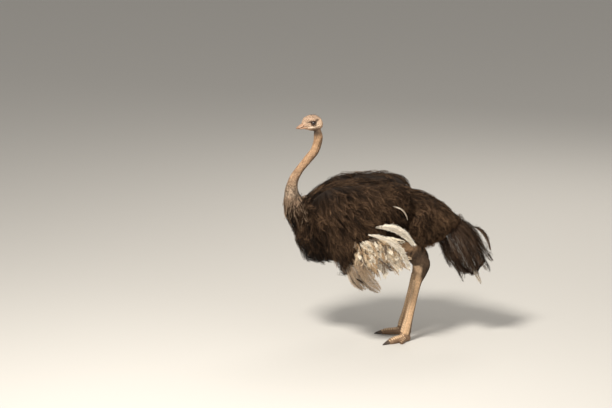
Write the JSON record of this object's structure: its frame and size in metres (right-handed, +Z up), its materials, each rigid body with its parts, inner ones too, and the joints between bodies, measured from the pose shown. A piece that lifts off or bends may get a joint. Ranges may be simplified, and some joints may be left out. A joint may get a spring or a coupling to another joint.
{
  "type": "ostrich",
  "caption": "Adult male ostrich standing still: long bare neck, head turned to its left, let-down black wings with white plumes, two-toed feet.",
  "frame": {"origin": "on the floor, under the middle of the bounding box", "axes": "the bird's body faces -X, its left side is towards -Y, +Z is up; units are metres in the row and millimetres in the source"},
  "size_m": [1.4624, 0.7622, 1.5967],
  "materials": {
    "eye": "wet, glossy",
    "skin": "matte skin",
    "neck_down": "skin under short pale down",
    "black_plumage": "loose matte feathers",
    "feathered_flesh": "flesh under black feathers",
    "tail_plumes": "loose matte feathers",
    "white_plumes": "loose matte plumes",
    "thigh_skin": "matte bare skin",
    "shank_scales": "horny scutes",
    "claw": "horn",
    "bill": "horn"
  },
  "bodies": {
    "root": {"back": "black_plumage", "bill_lower": "bill", "bill_upper": "bill", "breast": "black_plumage", "claw_left": "claw", "claw_right": "claw", "ear_left": "skin", "ear_right": "skin", "eye_left": "eye", "eye_right": "eye", "head": "skin", "neck_lower": "black_plumage", "neck_middle": "neck_down", "neck_upper": "skin", "rump": "feathered_flesh", "shank_left": "shank_scales", "shank_right": "shank_scales", "tail": "tail_plumes", "tail_coverts": "black_plumage", "tail_loose_plume": "tail_plumes", "thigh_left": "thigh_skin", "thigh_right": "thigh_skin", "toe_great_left": "shank_scales", "toe_great_right": "shank_scales", "toe_outer_left": "shank_scales", "toe_outer_right": "shank_scales", "trunk": "feathered_flesh", "wing_left": "black_plumage", "wing_lower_plumes_left": "white_plumes", "wing_lower_plumes_right": "white_plumes", "wing_right": "black_plumage", "wing_upper_plumes_left": "white_plumes", "wing_upper_plumes_right": "white_plumes"}
  },
  "joints": []
}
